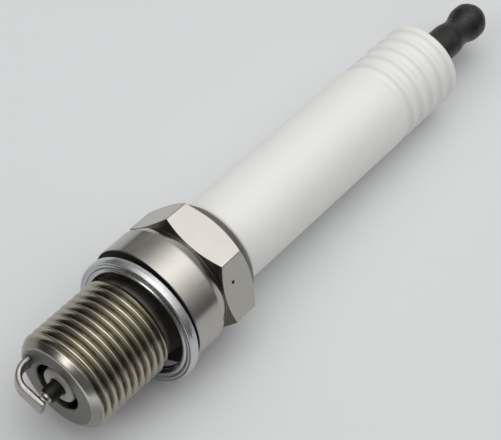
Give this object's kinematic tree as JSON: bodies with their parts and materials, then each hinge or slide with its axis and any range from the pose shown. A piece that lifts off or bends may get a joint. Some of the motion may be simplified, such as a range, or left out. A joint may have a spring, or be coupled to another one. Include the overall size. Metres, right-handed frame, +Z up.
{
  "type": "spark plug",
  "caption": "Long-barrel spark plug: threaded metal shell with hexagon and loose captive washer, long white ceramic body with rounded grooves, black solid terminal, J-shaped ground electrode.",
  "frame": {"origin": "on the plug's axis, in the plane of the gasket seat on the shell's collar", "axes": "+X along the plug's axis from the spark gap to the terminal, +Z up with the plug lying on its side, the ground electrode's root 11 degrees above +Y"},
  "size_m": [0.1181, 0.0242, 0.0234],
  "materials": {
    "shell_steel": "nickel-plated turned steel, satin",
    "white_ceramic": "white satin glaze",
    "dark_nickel": "dark oxidised nickel alloy",
    "copper": "bare copper",
    "precious_metal": "bright precious-metal alloy",
    "nickel_strap": "bare nickel alloy, satin",
    "seal_glass": "conductive glass, dull",
    "resistor_block": "resistor compound, dull",
    "black_terminal": "black oxide, semi-matt",
    "packing_steel": "plain mild steel",
    "talc": "pressed powder, matt",
    "zinc_plate": "bright zinc-plated sheet"
  },
  "bodies": {
    "plug": {"metal_shell": "shell_steel", "insulator": "white_ceramic", "centre_electrode": "dark_nickel", "centre_electrode_core": "copper", "centre_electrode_tip": "precious_metal", "ground_electrode": "nickel_strap", "ground_electrode_pad": "precious_metal", "lower_glass_seal": "seal_glass", "resistor": "resistor_block", "upper_glass_seal": "seal_glass", "terminal_stud": "black_terminal", "seat_washer": "packing_steel", "lower_packing_ring": "packing_steel", "talc_ring": "talc", "upper_packing_ring": "packing_steel"},
    "gasket": {"gasket": "zinc_plate"}
  },
  "joints": [
    {"name": "gasket_slide", "type": "slide", "parent": "plug", "child": "gasket", "axis": [1, 0, 0], "range_m": [-0.0007, 0.0005]}
  ]
}
